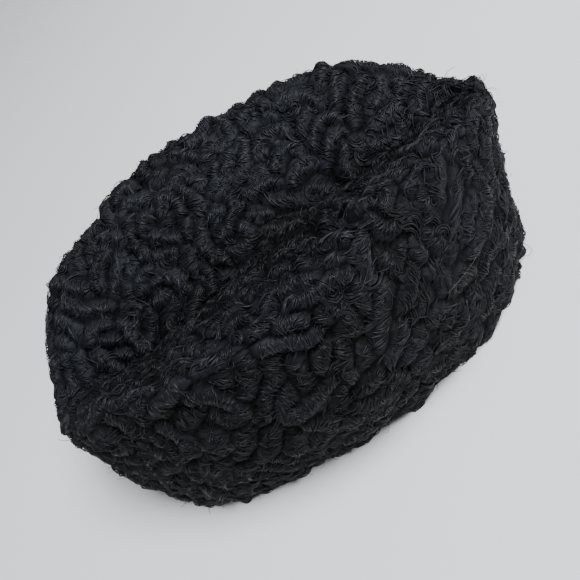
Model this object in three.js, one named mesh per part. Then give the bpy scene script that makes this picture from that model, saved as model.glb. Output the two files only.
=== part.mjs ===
// Folded karakul cap of black Persian lamb, standing on its brim.
// Two long side panels run from end seam to end seam and rise from the oval brim to a ridge each.
// The crown panel hangs between the ridges and is pushed down into one lengthwise crease.
// Millimetres, +Z up, +X along the length towards the front, +Y to the wearer's left.
// The origin is on the brim plane, under the middle of the cap's box.

import * as THREE from "three";
import { mergeVertices } from "three/addons/utils/BufferGeometryUtils.js";

// Driving dimensions
const BRIM_HALF_LENGTH = 119;
const BRIM_HALF_WIDTH = 80;
const BRIM_SQUARENESS = 2.55; // superellipse power: 2 is an ellipse, larger is squarer
const FUR_WALL = 9; // pelt and curled wool together
const CREASE_WALL = 12; // the same wall measured straight down under the steep crease
const RIDGE_ROUNDING = 15; // how far from its corner a ridge starts to turn over
const SIDE_BULGE = 9; // how far a side panel swells out between brim and ridge
const CROWN_PUFF = 4; // how far the crown swells up between ridge and crease
const SEAM_GAP = 0.3; // clearance between neighbouring panels
const HALF_GAP = SEAM_GAP / 2;
const CREASE_END_INSET = 7; // the crease stops this far short of the end seams
const CREASE_END_DROP = 6; // and this far below the top of the end seam

// Lengthwise sections of the crown: one row for each station from the back end to the front end.
// Each ridge corner has its place along the cap (X), out from the middle (Y) and up (Z).
const COLUMNS = ["at", "leftX", "leftY", "leftZ", "rightX", "rightY", "rightZ", "creaseY", "creaseZ"];
const SECTIONS = [
  [-1.0, -124, 19, 76, -124, 29, 64, 0, 56],
  [-0.75, -98, 49, 93, -98, 48, 84, -4, 54],
  [-0.5, -65, 63, 98, -65, 62, 98, -8, 53],
  [-0.25, -33, 69, 103, -33, 76, 104, -10, 61],
  [0.0, 0, 70, 104, 0, 84, 105, -10, 68],
  [0.25, 33, 66, 101, 33, 76, 104, -9, 67],
  [0.5, 66, 58, 99, 66, 59, 104, -7, 67],
  [0.75, 98, 42, 92, 99, 43, 96, -4, 66],
  [1.0, 125, 14, 78, 133, 26, 81, 0, 69],
].map((row) => Object.fromEntries(COLUMNS.map((column, i) => [column, row[i]])));

// The ridges turn in and down to the end seams over the last stretch, as a steep power of the
// station, which leaves a notch between the two ridge corners at each end.
const END_TURN_POWER = 16;

// Shares of the way from brim to crease where the ridge's round begins and ends, and its seam
const ROUND_START = 0.55;
const ROUND_END = 0.7;
const RIDGE_SEAM = 0.64;
const CROWN_END = 0.92; // station where the crown panel comes to its point
const CROWN_TIP = 0.93; // share of the way to the crease that its seam has reached there

// Wool relief: rows of locks, each one raised row of grid points between two low ones
const LOCK_HEIGHT = 2.3;
const LOCK_VALLEY = -1.5;
const LOCK_MEANDER = 2.2;
const LOCK_LENGTHS = [3, 4, 5];
const PLAIN_BRIM = 5; // height of the lowest band, where the relief dies away
const PLAIN_END = 0.03; // share of the stations next to each end seam where it does too
const PLAIN_CREASE = 0.1; // and share of the way to the crease next to it

// Grid counts
const CROWN_COLUMNS = 46;
const END_COLUMNS = 4;
const SIDE_ROWS = 22;
const SLOPE_ROWS = 12;
const INNER_STEP = 2; // one inner column for this many outer ones
const INNER_SIDE_ROWS = 7;
const INNER_SLOPE_ROWS = 3;

// Smooth value of one column of the section table at a station, by cubic Hermite steps
function sectionValue(column, at) {
  const span = SECTIONS[1].at - SECTIONS[0].at;
  const place = (at - SECTIONS[0].at) / span;
  const first = Math.min(Math.floor(place), SECTIONS.length - 2);
  const t = place - first;
  const value = (i) => SECTIONS[THREE.MathUtils.clamp(i, 0, SECTIONS.length - 1)][column];
  const slope = (i) => (value(i + 1) - value(i - 1)) / 2;
  const [a, b] = [value(first), value(first + 1)];
  const [ma, mb] = [slope(first), slope(first + 1)];
  const t2 = t * t;
  const t3 = t2 * t;
  return a * (2 * t3 - 3 * t2 + 1) + ma * (t3 - 2 * t2 + t) + b * (3 * t2 - 2 * t3) + mb * (t3 - t2);
}

// The three guide points of a half section: brim, ridge corner and crease, set in by a depth
function guidePoints(side, at, inset) {
  const name = side > 0 ? "left" : "right";
  const turn = Math.abs(at) ** END_TURN_POWER;
  const openness = Math.sqrt(Math.max(1 - turn, 0));
  const angle = (at * Math.PI) / 2;
  const share = Math.abs(Math.sin(angle));
  const brimX = (BRIM_HALF_LENGTH - inset) * Math.sin(angle);
  const brimY = (BRIM_HALF_WIDTH - inset) * (1 - share ** BRIM_SQUARENESS) ** (1 / BRIM_SQUARENESS);
  const ridgeX = sectionValue(name + "X", at);
  const ridgeY = Math.max(sectionValue(name + "Y", at) * openness - inset, 0);
  const seamTop = sectionValue("creaseZ", at) + CREASE_END_DROP;
  const heightOf = (column) => THREE.MathUtils.lerp(sectionValue(column, at), seamTop, turn) - inset;
  const ridgeZ = heightOf(name + "Z");
  const creaseX = (sectionValue("leftX", at) + sectionValue("rightX", at)) / 2;
  const drop = (CREASE_WALL / FUR_WALL) * inset;
  const lowerRidge = Math.min(heightOf("leftZ"), heightOf("rightZ"));
  const creaseZ = Math.min(sectionValue("creaseZ", at) - drop, lowerRidge - CREASE_END_DROP);
  return {
    brim: new THREE.Vector3(brimX, side * brimY, 0),
    ridge: new THREE.Vector3(ridgeX - at * inset, side * ridgeY, ridgeZ),
    crease: new THREE.Vector3(
      creaseX - at * (inset + CREASE_END_INSET),
      sectionValue("creaseY", at) * (1 - turn),
      creaseZ,
    ),
  };
}

// A point of the wall's mean face: side +1 is left, share 0 is the brim and 1 the crease
function wallPoint(side, at, share, inset = 0) {
  const { brim, ridge, crease } = guidePoints(side, at, inset);
  const rounding = Math.max(RIDGE_ROUNDING - inset, 4);
  const sideTop = ridge.clone().lerp(brim, Math.min(rounding / ridge.distanceTo(brim), 0.4));
  const crownTop = ridge.clone().lerp(crease, Math.min(rounding / ridge.distanceTo(crease), 0.4));
  const point = new THREE.Vector3();
  if (share <= ROUND_START) {
    const t = share / ROUND_START;
    const bulge = SIDE_BULGE * Math.sin(Math.PI * t);
    const outward = new THREE.Vector3(brim.x / BRIM_HALF_LENGTH, (2 * brim.y) / BRIM_HALF_WIDTH, 0);
    point.lerpVectors(brim, sideTop, t);
    point.addScaledVector(outward.normalize(), bulge * Math.cos((at * Math.PI) / 2));
  } else if (share <= ROUND_END) {
    const t = (share - ROUND_START) / (ROUND_END - ROUND_START);
    new THREE.QuadraticBezierCurve3(sideTop, ridge, crownTop).getPoint(t, point);
  } else {
    const t = (share - ROUND_END) / (1 - ROUND_END);
    point.lerpVectors(crownTop, crease, t);
    point.z += CROWN_PUFF * Math.sin(Math.PI * t) * Math.cos((at * Math.PI) / 2);
  }
  return point;
}

// Share of the way to the crease where the side panel ends: at the ridge along most of the cap,
// then down the inner slope to the crease towards each end
function seamShare(at) {
  const away = Math.abs(at);
  if (away >= CROWN_END) {
    const t = (away - CROWN_END) / (1 - CROWN_END);
    return THREE.MathUtils.lerp(CROWN_TIP, 1, Math.min(t * 2, 1));
  }
  const t = THREE.MathUtils.smoothstep(away, 0.55, CROWN_END);
  return THREE.MathUtils.lerp(RIDGE_SEAM, CROWN_TIP, t);
}

// Repeatable number from 0 to 1 for a pair of whole numbers
function scatter(a, b) {
  const wave = Math.sin(a * 127.1 + b * 311.7 + 17.3) * 43758.5453;
  return wave - Math.floor(wave);
}

// Height of the wool at a grid point: odd rows are crests, broken where one lock ends
function lockHeight(column, row) {
  if (row % 2 === 0) return LOCK_VALLEY * (0.6 + 0.8 * scatter(column, row));
  const length = LOCK_LENGTHS[row % LOCK_LENGTHS.length];
  const shift = Math.floor(scatter(row, 5) * length);
  const lock = Math.floor((column + shift) / length);
  const isBreak = (column + shift) % length === 0;
  return isBreak ? LOCK_VALLEY * 0.5 : LOCK_HEIGHT * (0.7 + 0.6 * scatter(lock, row));
}

// A wall point pushed out along the face's normal by the wool, with wandering rows
function woolPoint(side, at, share, column, row, strength = 1) {
  const step = 0.004;
  const inside = Math.min(Math.abs(at), 1 - step) * Math.sign(at);
  const point = wallPoint(side, at, share);
  const along = wallPoint(side, inside + step, share).sub(wallPoint(side, inside - step, share));
  const low = wallPoint(side, inside, Math.max(share - step, 0));
  const up = wallPoint(side, inside, Math.min(share + step, 1)).sub(low).normalize();
  const normal = along.cross(up).normalize().multiplyScalar(-side);
  const nearBrim = THREE.MathUtils.smoothstep(point.z, 0, PLAIN_BRIM);
  const nearEnd = THREE.MathUtils.smoothstep(1 - Math.abs(at), 0, PLAIN_END);
  const nearCrease = THREE.MathUtils.smoothstep(1 - share, 0, PLAIN_CREASE);
  const relief = strength * nearBrim * nearEnd * nearCrease;
  const wander = LOCK_MEANDER * Math.sin(column * 0.9 + row * 0.35);
  point.addScaledVector(normal, lockHeight(column, row) * relief);
  point.addScaledVector(up, wander * relief);
  return point;
}

// Keeps a point on its own side of the lengthwise middle plane, clear of the end seam
function keepSide(point, side) {
  if (point.y * side < HALF_GAP) point.y = side * HALF_GAP;
  return point;
}

// Stations of all columns, with the crown panel's own columns between the end ones
function stations() {
  const list = [];
  for (let i = END_COLUMNS; i > 0; i--) list.push(-CROWN_END - ((1 - CROWN_END) * i) / END_COLUMNS);
  for (let i = 0; i <= CROWN_COLUMNS; i++) list.push(CROWN_END * ((2 * i) / CROWN_COLUMNS - 1));
  for (let i = 1; i <= END_COLUMNS; i++) list.push(CROWN_END + ((1 - CROWN_END) * i) / END_COLUMNS);
  return list;
}

// Every second station, always with both ends of the list
function innerStations(list) {
  return list.filter((at, i) => i % INNER_STEP === 0 || i === list.length - 1);
}

// Triangles of a grid of points, rows by columns
function gridFaces(grid, flip, faces) {
  for (let r = 0; r < grid.length - 1; r++) {
    for (let c = 0; c < grid[r].length - 1; c++) {
      const [a, b] = [grid[r][c], grid[r][c + 1]];
      const [d, e] = [grid[r + 1][c], grid[r + 1][c + 1]];
      if (flip) faces.push([a, b, e], [a, e, d]);
      else faces.push([a, e, b], [a, d, e]);
    }
  }
}

// Triangles of the strip between two lines of points that run the same way, of any two counts
function stripFaces(first, second, flip, faces) {
  const [firstSteps, secondSteps] = [first.length - 1, second.length - 1];
  let i = 0;
  let j = 0;
  while (i < firstSteps || j < secondSteps) {
    const firstIsNext = (i + 1) * secondSteps <= (j + 1) * firstSteps;
    const moveFirst = i < firstSteps && (firstIsNext || j >= secondSteps);
    const third = moveFirst ? first[i + 1] : second[j + 1];
    if (flip) faces.push([first[i], second[j], third]);
    else faces.push([first[i], third, second[j]]);
    if (moveFirst) i += 1;
    else j += 1;
  }
}

// A closed wall between an outer and an inner grid, with a strip along each of the four edges
function closedWall(outer, inner, flip) {
  const faces = [];
  const lastColumn = (grid) => grid.map((row) => row[row.length - 1]);
  const firstColumn = (grid) => grid.map((row) => row[0]);
  gridFaces(outer, flip, faces);
  gridFaces(inner, !flip, faces);
  const edges = [
    [outer[0], inner[0], false],
    [outer[outer.length - 1], inner[inner.length - 1], true],
    [firstColumn(outer), firstColumn(inner), true],
    [lastColumn(outer), lastColumn(inner), false],
  ];
  for (const [outerLine, innerLine, turned] of edges) {
    stripFaces(outerLine, innerLine, turned !== flip, faces);
  }
  return solidGeometry(faces);
}

// One closed geometry from triangles, without the slivers that merging leaves
function solidGeometry(faces) {
  const loose = new THREE.BufferGeometry();
  const numbers = faces.flatMap((face) => face.flatMap((point) => [point.x, point.y, point.z]));
  loose.setAttribute("position", new THREE.Float32BufferAttribute(numbers, 3));
  const merged = mergeVertices(loose, 0.001);
  const index = Array.from(merged.index.array);
  const kept = [];
  for (let i = 0; i < index.length; i += 3) {
    const [a, b, c] = index.slice(i, i + 3);
    if (a !== b && b !== c && c !== a) kept.push(a, b, c);
  }
  merged.setIndex(kept);
  merged.computeVertexNormals();
  return merged;
}

// The points of a side panel, brim row first
function sidePanel(side) {
  const columns = stations();
  const outer = [];
  const inner = [];
  for (let row = 0; row <= SIDE_ROWS; row++) {
    outer.push(columns.map((at, column) => {
      const share = (seamShare(at) * row) / SIDE_ROWS;
      return keepSide(woolPoint(side, at, share, column, row), side);
    }));
  }
  for (let row = 0; row <= INNER_SIDE_ROWS; row++) {
    inner.push(innerStations(columns).map((at) => {
      const share = (seamShare(at) * row) / INNER_SIDE_ROWS;
      return keepSide(wallPoint(side, at, share, FUR_WALL), side);
    }));
  }
  return closedWall(outer, inner, side < 0);
}

// Direction square to the face of the ridge seam at a station, from the side panel to the crown
function acrossSeam(side, at) {
  const step = 0.01;
  const seamPoint = (place, inset) => wallPoint(side, place, seamShare(place), inset);
  const along = seamPoint(at + step, 0).sub(seamPoint(at - step, 0));
  const depth = seamPoint(at, FUR_WALL).sub(seamPoint(at, 0));
  return along.cross(depth).normalize().multiplyScalar(-side);
}

// One slope of the crown, from its ridge seam to the crease, clear of the seam and of both tips
function crownSlope(side, rows, list, place) {
  const grid = [];
  const last = list.length - 1;
  for (let row = 0; row <= rows; row++) {
    const share = (at) => THREE.MathUtils.lerp(seamShare(at), 1, row / rows);
    const points = list.map((at, i) => place(at, share(at), row, i));
    if (row === 0) points.forEach((point, i) => point.addScaledVector(acrossSeam(side, list[i]), SEAM_GAP));
    points[0].x += SEAM_GAP;
    points[last].x -= SEAM_GAP;
    grid.push(points);
  }
  return grid;
}

// The crown panel, from the right ridge seam through the crease to the left one
function crownPanel() {
  const all = stations();
  const columns = all.slice(END_COLUMNS, all.length - END_COLUMNS);
  const outerSlope = (side) => crownSlope(side, SLOPE_ROWS, columns, (at, share, row, i) => {
    const width = (1 - seamShare(at)) / (1 - RIDGE_SEAM);
    return woolPoint(side, at, share, i + END_COLUMNS, row + SIDE_ROWS, row === 0 ? 1 : width);
  });
  const innerColumns = innerStations(columns);
  const innerSlope = (side) => crownSlope(side, INNER_SLOPE_ROWS, innerColumns, (at, share) => {
    return wallPoint(side, at, share, FUR_WALL);
  });
  const join = (right, left) => [...right, ...left.slice(0, -1).reverse()];
  return closedWall(join(outerSlope(-1), outerSlope(1)), join(innerSlope(-1), innerSlope(1)), true);
}

const wool = new THREE.MeshStandardMaterial({ color: 0x1b1c1f, roughness: 0.6, metalness: 0 });

function namedMesh(name, geometry) {
  const mesh = new THREE.Mesh(geometry, wool);
  mesh.name = name;
  return mesh;
}

const cap = new THREE.Group();
cap.add(namedMesh("left_side_panel", sidePanel(1)));
cap.add(namedMesh("right_side_panel", sidePanel(-1)));
cap.add(namedMesh("crown_panel", crownPanel()));

const middle = new THREE.Box3().setFromObject(cap).getCenter(new THREE.Vector3());
cap.position.set(-middle.x, -middle.y, 0);

export default cap;
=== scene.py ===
# %% [markdown]
# # A folded karakul cap in Blender
# The real cap is sewn from three pieces of black Persian lamb: two long side panels and a crown.
# The wool of a newborn karakul lamb grows in tight rolls: each hair leaves the skin on one side
# of a roll, passes over its top and tucks in again on the other side. Wear and brushing pull
# some of it up into curled locks and loose wisps.
# So the cap is built the way it grows: a pelt, rolls that wander over it, wisps of hair that
# wrap each roll, comma locks and loose wisps on top, and last the single hairs that stand off.
# Nearly everything is worked out with numpy as whole arrays.

# %% The frame and the tools
import math

import bpy
import numpy as np
from mathutils import Matrix, Vector


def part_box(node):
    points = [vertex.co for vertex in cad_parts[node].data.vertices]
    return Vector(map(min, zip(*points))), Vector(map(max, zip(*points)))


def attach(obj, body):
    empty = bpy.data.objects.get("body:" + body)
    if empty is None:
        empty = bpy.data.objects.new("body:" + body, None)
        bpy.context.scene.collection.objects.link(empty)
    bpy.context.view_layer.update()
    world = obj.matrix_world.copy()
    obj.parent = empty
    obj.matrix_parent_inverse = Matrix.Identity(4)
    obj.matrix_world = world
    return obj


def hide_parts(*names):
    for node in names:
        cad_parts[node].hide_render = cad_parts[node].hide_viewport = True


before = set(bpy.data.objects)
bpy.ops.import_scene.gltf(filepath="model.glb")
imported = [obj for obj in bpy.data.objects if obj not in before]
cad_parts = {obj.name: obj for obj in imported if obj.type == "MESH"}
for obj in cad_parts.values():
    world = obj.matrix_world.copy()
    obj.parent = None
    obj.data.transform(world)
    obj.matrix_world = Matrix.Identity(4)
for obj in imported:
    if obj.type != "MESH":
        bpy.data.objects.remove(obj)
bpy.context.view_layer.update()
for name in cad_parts:
    low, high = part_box(name)
    print(name, [round(v, 4) for v in low], [round(v, 4) for v in high])

MM = 0.001
rng = np.random.default_rng(1907)

# %% [markdown]
# ## The camera
# The photograph looks down on the cap at about 45 degrees, and it is turned by nearly as much
# again about the line of sight, so that the cap's long axis runs from the lower left to the
# upper right. The camera is placed by those angles round a point inside the cap. Its lens is
# given in pixels of the 580 pixel picture first, and then turned into Blender's millimetres.

# %% Camera at the photograph's angle
TARGET = np.array([2.891, -1.456, 32.41]) * MM
AZIMUTH, ELEVATION, ROLL = np.radians([13.18, 45.55, 44.55])
DISTANCE = 321.97 * MM
FOCAL_PIXELS = 636.28
PICTURE_PIXELS = 580
SENSOR_MM = 36.0


def unit(v):
    """Vectors scaled to length 1 along their last axis."""
    return v / np.maximum(np.linalg.norm(v, axis=-1, keepdims=True), 1e-12)


def build_camera():
    """Puts the camera on a line out of the target, and rolls it about that line."""
    back = np.array([
        math.sin(AZIMUTH) * math.cos(ELEVATION),
        -math.cos(AZIMUTH) * math.cos(ELEVATION),
        math.sin(ELEVATION),
    ])
    level = unit(np.cross(-back, [0, 0, 1]))
    upright = np.cross(level, -back)
    right = level * math.cos(ROLL) - upright * math.sin(ROLL)
    up = upright * math.cos(ROLL) + level * math.sin(ROLL)
    lens = bpy.data.cameras.new("camera")
    lens.sensor_width = SENSOR_MM
    lens.lens = SENSOR_MM * FOCAL_PIXELS / PICTURE_PIXELS
    lens.clip_start = 0.01
    camera = bpy.data.objects.new("camera", lens)
    turn = Matrix(np.column_stack([right, up, back]).tolist()).to_4x4()
    camera.matrix_world = Matrix.Translation(TARGET + back * DISTANCE) @ turn
    bpy.context.scene.collection.objects.link(camera)
    bpy.context.scene.camera = camera
    return camera


camera = build_camera()
print("lens", round(camera.data.lens, 2), "mm, at", [round(v, 3) for v in camera.location])

# %% [markdown]
# ## Helpers
# Four small ones serve the whole file: sRGB hex to linear colour, a node with its settings and
# links in one call, an empty material, and a mesh from arrays.


# %% Colour, node and mesh helpers
def linear(hex_colour):
    """Linear RGBA of an sRGB hex value: each channel through the sRGB curve."""
    channels = [int(hex_colour[i:i + 2], 16) / 255 for i in (1, 3, 5)]
    return [c / 12.92 if c <= 0.04045 else ((c + 0.055) / 1.055) ** 2.4 for c in channels] + [1.0]


def add_node(tree, kind, settings=None, **sockets):
    """Adds one node. Settings are its properties; a socket takes a value or another node's output.

    An underscore in a socket's name stands for a space, and a leading one for a socket number.
    """
    node = tree.nodes.new(kind)
    for key, value in (settings or {}).items():
        setattr(node, key, value)
    for key, value in sockets.items():
        numbered = key.startswith("_")
        socket = node.inputs[int(key[1:])] if numbered else node.inputs[key.replace("_", " ")]
        if isinstance(value, bpy.types.NodeSocket):
            tree.links.new(value, socket)
        else:
            socket.default_value = value
    return node


def new_material(name):
    """An empty node material, and its tree of nodes."""
    material = bpy.data.materials.new(name)
    material.use_nodes = True
    material.node_tree.nodes.clear()
    return material, material.node_tree


def mesh_piece(name, points, faces, material, uv=None, tint=None):
    """A smooth mesh object from an array of points and an array of faces.

    uv has a row per point and goes to every face corner there; tint is one number per point.
    """
    mesh = bpy.data.meshes.new(name)
    mesh.from_pydata(points.tolist(), [], faces.tolist())
    if uv is not None:
        layer = mesh.uv_layers.new(name="strand")
        corners = np.empty(len(mesh.loops), int)
        mesh.loops.foreach_get("vertex_index", corners)
        layer.data.foreach_set("uv", uv[corners].astype(np.float32).ravel())
    if tint is not None:
        # each point's number is the wool's random tone times its painted shade
        shade = mesh.attributes.new("tint", "FLOAT", "POINT")
        shade.data.foreach_set("value", tint.astype(np.float32))
    mesh.shade_smooth()
    mesh.materials.append(material)
    piece = bpy.data.objects.new(name, mesh)
    bpy.context.scene.collection.objects.link(piece)
    return piece


# %% [markdown]
# ## The form of the cap
# The wall is a surface of two parameters on each side: `at` runs from the back end seam (-1) to
# the front one (1), and `share` from the brim (0) over the ridge to the crease (1). Nine
# sections give the ridge corners and the crease, and a smooth curve is put through them. The
# same named sizes drive the solids of the frame, so the wool lies where they are. Close to the
# end seams the wall turns in so fast that a small step of the station is a long way in space, so
# `at` is eased there: the station is a polynomial of it whose slope falls to nothing at the ends.

# %% Sections and sizes, in millimetres
BRIM_HALF_LENGTH = 119
BRIM_HALF_WIDTH = 80
BRIM_SQUARENESS = 2.55
FUR_WALL = 9
CREASE_WALL = 12
RIDGE_ROUNDING = 15
LEAST_ROUNDING = 4
MOST_OF_A_FACE = 0.4
SIDE_BULGE = 9
CROWN_PUFF = 4
CREASE_END_INSET = 7
CREASE_END_DROP = 6
END_TURN_POWER = 16
ROUND_START = 0.55
ROUND_END = 0.7
RIDGE_SEAM = 0.64
TAPER_START = 0.55
CROWN_END = 0.92
CROWN_TIP = 0.93
CAP_SHIFT = np.array([-3.679, 2.964, 0.0])

COLUMNS = ["at", "leftX", "leftY", "leftZ", "rightX", "rightY", "rightZ", "creaseY", "creaseZ"]
SECTIONS = np.array([
    [-1.0, -124, 19, 76, -124, 29, 64, 0, 56],
    [-0.75, -98, 49, 93, -98, 48, 84, -4, 54],
    [-0.5, -65, 63, 98, -65, 62, 98, -8, 53],
    [-0.25, -33, 69, 103, -33, 76, 104, -10, 61],
    [0.0, 0, 70, 104, 0, 84, 105, -10, 68],
    [0.25, 33, 66, 101, 33, 76, 104, -9, 67],
    [0.5, 66, 58, 99, 66, 59, 104, -7, 67],
    [0.75, 98, 42, 92, 99, 43, 96, -4, 66],
    [1.0, 125, 14, 78, 133, 26, 81, 0, 69],
])


# %% The wall as a function of two parameters
EASE = 12


def station_of(at):
    """Station in the sections of an eased place: ((n + 1) at - at |at|^n) / n, with n = 12."""
    return at * (EASE + 1 - np.abs(at)**EASE) / EASE


def place_of(station):
    """The eased place of a station, by looking it up backwards in a fine table."""
    table = np.linspace(-1, 1, 4001)
    return np.interp(station, station_of(table), table)


def section_value(column, at):
    """Cubic Hermite curve through one column of the sections, with central slopes."""
    values = SECTIONS[:, COLUMNS.index(column)]
    place = (at + 1) / (SECTIONS[1, 0] - SECTIONS[0, 0])
    first = np.clip(np.floor(place).astype(int), 0, len(values) - 2)
    t = place - first

    def value(i):
        return values[np.clip(i, 0, len(values) - 1)]

    a, b = value(first), value(first + 1)
    ma, mb = (b - value(first - 1)) / 2, (value(first + 2) - a) / 2
    return (
        a * (2 * t**3 - 3 * t**2 + 1) + ma * (t**3 - 2 * t**2 + t)
        + b * (3 * t**2 - 2 * t**3) + mb * (t**3 - t**2)
    )


def by_side(side, name, at):
    """A ridge column's value for arrays of sides, +1 left and -1 right."""
    return np.where(side > 0, section_value("left" + name, at), section_value("right" + name, at))


def wall_point(side, at, share, inset=0.0):
    """Point of the wall in metres, for arrays of side, at and share.

    Brim to ridge: a straight line that swells outwards by a half sine. Over the ridge: a
    quadratic Bezier curve round the corner. Ridge to crease: a line that swells upwards. Towards
    an end seam the ridge closes in by the square root of 1 - |at|^16 and drops to the seam's top.
    """
    side, at, share = np.broadcast_arrays(side, station_of(np.asarray(at, float)), share)
    turn = np.abs(at) ** END_TURN_POWER
    openness = np.sqrt(np.maximum(1 - turn, 0))
    angle = at * math.pi / 2
    along = np.abs(np.sin(angle))
    brim_y = (BRIM_HALF_WIDTH - inset) * (1 - along**BRIM_SQUARENESS) ** (1 / BRIM_SQUARENESS)
    brim = np.stack([(BRIM_HALF_LENGTH - inset) * np.sin(angle), side * brim_y, 0 * at], -1)
    ridge_y = np.maximum(by_side(side, "Y", at) * openness - inset, 0)
    seam_top = section_value("creaseZ", at) + CREASE_END_DROP
    left_z, right_z = (
        section_value(column, at) * (1 - turn) + seam_top * turn - inset
        for column in ("leftZ", "rightZ")
    )
    ridge_z = np.where(side > 0, left_z, right_z)
    ridge = np.stack([by_side(side, "X", at) - at * inset, side * ridge_y, ridge_z], -1)
    middle_x = (section_value("leftX", at) + section_value("rightX", at)) / 2
    lower = np.minimum(left_z, right_z)
    crease_z = section_value("creaseZ", at) - CREASE_WALL / FUR_WALL * inset
    crease_z = np.minimum(crease_z, lower - CREASE_END_DROP)
    crease_x = middle_x - at * (inset + CREASE_END_INSET)
    crease = np.stack([crease_x, section_value("creaseY", at) * (1 - turn), crease_z], -1)

    def toward(goal):
        reach = np.linalg.norm(goal - ridge, axis=-1)
        rounding = max(RIDGE_ROUNDING - inset, LEAST_ROUNDING)
        step = np.minimum(rounding / np.maximum(reach, 1e-6), MOST_OF_A_FACE)
        return ridge + (goal - ridge) * step[..., None]

    side_top, crown_top = toward(brim), toward(crease)
    swell = np.cos(angle)[..., None]
    t = np.clip(share / ROUND_START, 0, 1)[..., None]
    outward = np.stack([brim[..., 0] / BRIM_HALF_LENGTH, 2 * brim[..., 1] / BRIM_HALF_WIDTH, 0 * at], -1)
    outward = unit(outward)
    panel = brim + (side_top - brim) * t + outward * SIDE_BULGE * np.sin(math.pi * t) * swell
    t = np.clip((share - ROUND_START) / (ROUND_END - ROUND_START), 0, 1)[..., None]
    bend = (1 - t) ** 2 * side_top + 2 * t * (1 - t) * ridge + t**2 * crown_top
    t = np.clip((share - ROUND_END) / (1 - ROUND_END), 0, 1)[..., None]
    slope = crown_top + (crease - crown_top) * t
    slope = slope + np.array([0, 0, CROWN_PUFF]) * np.sin(math.pi * t) * swell
    share = share[..., None]
    point = np.where(share <= ROUND_START, panel, np.where(share <= ROUND_END, bend, slope))
    return (point + CAP_SHIFT) * MM


STEP = 0.004


def wall_frame(side, at, share):
    """Point, the two surface derivatives and the outward normal, by small steps to both sides."""
    at = np.clip(at, -1 + STEP, 1 - STEP)
    share = np.clip(share, 0, 1)
    low, high = np.maximum(share - STEP, 0), np.minimum(share + STEP, 1)
    along = (wall_point(side, at + STEP, share) - wall_point(side, at - STEP, share)) / (2 * STEP)
    up = (wall_point(side, at, high) - wall_point(side, at, low)) / (high - low)[..., None]
    normal = unit(np.cross(along, up)) * -np.asarray(side)[..., None]
    return wall_point(side, at, share), along, up, normal


def seam_share(at):
    """Share of the way to the crease where a side panel ends, for every place along the cap."""
    away = np.abs(station_of(at))
    t = np.clip((away - TAPER_START) / (CROWN_END - TAPER_START), 0, 1)
    ridge_to_tip = RIDGE_SEAM + (CROWN_TIP - RIDGE_SEAM) * t * t * (3 - 2 * t)
    past = CROWN_TIP + (1 - CROWN_TIP) * np.clip(2 * (away - CROWN_END) / (1 - CROWN_END), 0, 1)
    return np.where(away >= CROWN_END, past, ridge_to_tip)


probe = wall_point(np.array([1.0, -1.0]), np.array([0.0, 0.0]), np.array([0.62, 0.62]))
print("ridge heights, left and right, mm:", (probe[:, 2] / MM).round(1))

# %% [markdown]
# ## Finishes
# Lamb's wool dyed black is keratin fibre with a cuticle that gives it a silky gloss: its index
# of refraction is about 1.55 and its roughness middling. The gloss runs in a line across the
# hairs, so the shader is anisotropic along the strand's own UV direction. Fine streaks along
# the strand stand for single hairs of about 0.03 mm. They are drawn coarser so that they show:
# about 0.3 mm apart on a wisp, and 1.4 mm on the matted wool between the wisps, which lies in
# their shade and has less gloss. The skin side of the pelt is dyed suede, matt and mottled.

# %% Black lamb's wool
HAIR_IOR = 1.55


def lamb_wool(name, dark_and_shaded_hex, light_and_lit_hex, roughness, gloss, over, along, depth):
    """Wool of one colour, streaked by its hairs: its ramp runs from a dark colour, which also gives the
    painted shade of valleys, crease and strand ends, to a lighter one on the crests.

    over and along set how close the streaks lie across and along a hair, and depth is their
    relief. Patches a few centimetres wide are a little browner, where the dye has worn.
    """
    material, tree = new_material(name)
    uv = add_node(tree, "ShaderNodeUVMap", {"uv_map": "strand"})
    stretch = add_node(tree, "ShaderNodeMapping", Vector=uv.outputs["UV"], Scale=(over, along, 1.0))
    hairs = add_node(
        tree, "ShaderNodeTexNoise", Vector=stretch.outputs["Vector"], Scale=1.0, Detail=3.0, Roughness=0.6,
    )
    tint = add_node(tree, "ShaderNodeAttribute", {"attribute_name": "tint"})
    place = add_node(tree, "ShaderNodeTexCoord")
    patch = add_node(tree, "ShaderNodeTexNoise", Vector=place.outputs["Object"], Scale=28.0, Detail=2.0)
    lift = add_node(
        tree, "ShaderNodeMath", {"operation": "MULTIPLY"}, _0=hairs.outputs["Fac"], _1=tint.outputs["Fac"],
    )
    ramp = add_node(tree, "ShaderNodeValToRGB", Fac=lift.outputs["Value"])
    ramp.color_ramp.elements[0].position = 0.2
    ramp.color_ramp.elements[0].color = linear(dark_and_shaded_hex)
    ramp.color_ramp.elements[1].position = 0.6
    ramp.color_ramp.elements[1].color = linear(light_and_lit_hex)
    warm = add_node(
        tree, "ShaderNodeMix", {"data_type": "RGBA", "blend_type": "MULTIPLY"},
        _0=patch.outputs["Fac"], _6=ramp.outputs["Color"], _7=linear("#f2dccb"),
    )
    bump = add_node(tree, "ShaderNodeBump", Height=hairs.outputs["Fac"], Strength=0.6, Distance=depth)
    tangent = add_node(tree, "ShaderNodeTangent", {"direction_type": "UV_MAP", "uv_map": "strand"})
    shader = add_node(
        tree, "ShaderNodeBsdfPrincipled", Base_Color=warm.outputs[2], Roughness=roughness, IOR=HAIR_IOR,
        Anisotropic=0.6, Normal=bump.outputs["Normal"], Tangent=tangent.outputs["Tangent"],
    )
    shader.inputs["Specular IOR Level"].default_value = gloss
    add_node(tree, "ShaderNodeOutputMaterial", Surface=shader.outputs["BSDF"])
    return material


# blue-black strands with a silky gloss
wool = lamb_wool("dyed_lamb_wool", "#0b0c0f", "#262a30", 0.48, 0.25, 1.1, 0.12, 0.0003)
# the duller, deeply furrowed wool that shows between them
underwool = lamb_wool("dyed_underwool", "#060608", "#26292f", 0.6, 0.09, 0.7, 0.09, 0.0012)
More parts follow.
